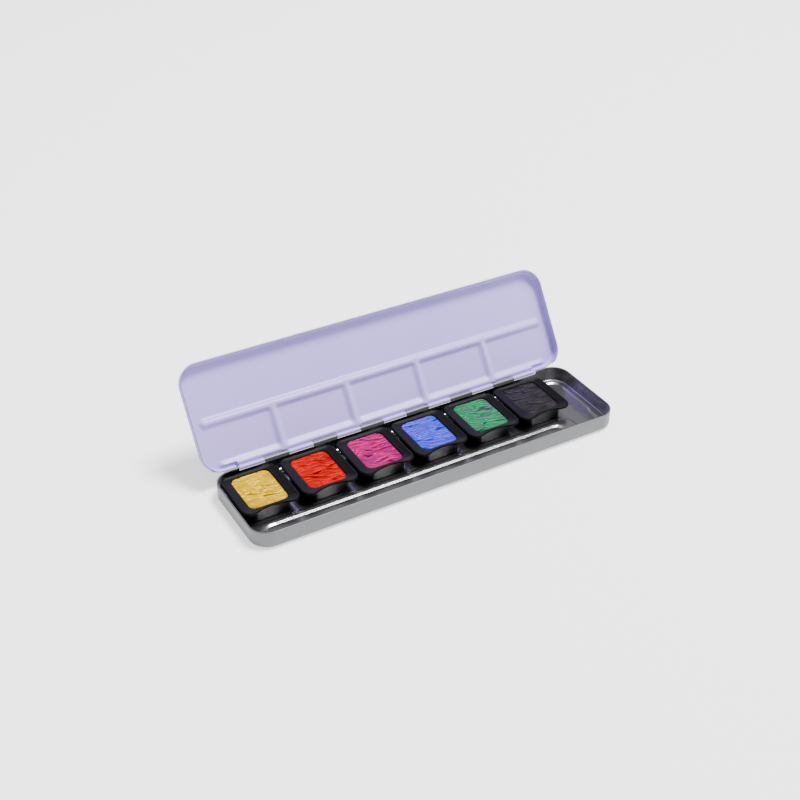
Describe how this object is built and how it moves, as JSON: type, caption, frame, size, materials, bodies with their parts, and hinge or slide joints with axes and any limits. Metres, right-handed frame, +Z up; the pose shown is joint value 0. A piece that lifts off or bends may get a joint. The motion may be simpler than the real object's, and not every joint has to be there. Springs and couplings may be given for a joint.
{
  "type": "watercolor pan set",
  "caption": "Flat hinged metal tin holding a row of square watercolour pans beside a brush trough, with a lid that opens as a mixing palette.",
  "frame": {"origin": "centre of the base tray's underside, on the plane that the tin stands on", "axes": "+X along the tin to the free bay, +Y back to the hinge, +Z up"},
  "size_m": [0.2382, 0.0969, 0.0626],
  "materials": {
    "silver_tin": "satin silver lacquer on tinplate",
    "enamelled_tin": "satin pale enamel inside, silver lacquer outside",
    "steel_wire": "drawn wire",
    "black_pan": "satin moulded black",
    "yellow_paint": "dried pearlescent watercolour",
    "red_paint": "dried pearlescent watercolour",
    "pink_paint": "dried pearlescent watercolour",
    "blue_paint": "dried pearlescent watercolour",
    "green_paint": "dried pearlescent watercolour",
    "charcoal_paint": "dried pearlescent watercolour"
  },
  "bodies": {
    "base": {"base_tray": "silver_tin", "hinge_pin": "steel_wire"},
    "cover": {"lid": "enamelled_tin"},
    "yellow_pan": {"pan_shell_yellow": "black_pan", "paint_yellow": "yellow_paint"},
    "red_pan": {"pan_shell_red": "black_pan", "paint_red": "red_paint"},
    "pink_pan": {"pan_shell_pink": "black_pan", "paint_pink": "pink_paint"},
    "blue_pan": {"pan_shell_blue": "black_pan", "paint_blue": "blue_paint"},
    "green_pan": {"pan_shell_green": "black_pan", "paint_green": "green_paint"},
    "charcoal_pan": {"pan_shell_charcoal": "black_pan", "paint_charcoal": "charcoal_paint"}
  },
  "joints": [
    {"name": "lid_hinge", "type": "hinge", "parent": "base", "child": "cover", "pos_m": [0, 0.0311, 0.0092], "axis": [-1, 0, 0], "range_deg": [-124, 0]},
    {"name": "yellow_pan_lift", "type": "slide", "parent": "base", "child": "yellow_pan", "axis": [0, 0, 1], "range_m": [0, 0.02]},
    {"name": "red_pan_lift", "type": "slide", "parent": "base", "child": "red_pan", "axis": [0, 0, 1], "range_m": [0, 0.02]},
    {"name": "pink_pan_lift", "type": "slide", "parent": "base", "child": "pink_pan", "axis": [0, 0, 1], "range_m": [0, 0.02]},
    {"name": "blue_pan_lift", "type": "slide", "parent": "base", "child": "blue_pan", "axis": [0, 0, 1], "range_m": [0, 0.02]},
    {"name": "green_pan_lift", "type": "slide", "parent": "base", "child": "green_pan", "axis": [0, 0, 1], "range_m": [0, 0.02]},
    {"name": "charcoal_pan_lift", "type": "slide", "parent": "base", "child": "charcoal_pan", "axis": [0, 0, 1], "range_m": [0, 0.02]}
  ]
}
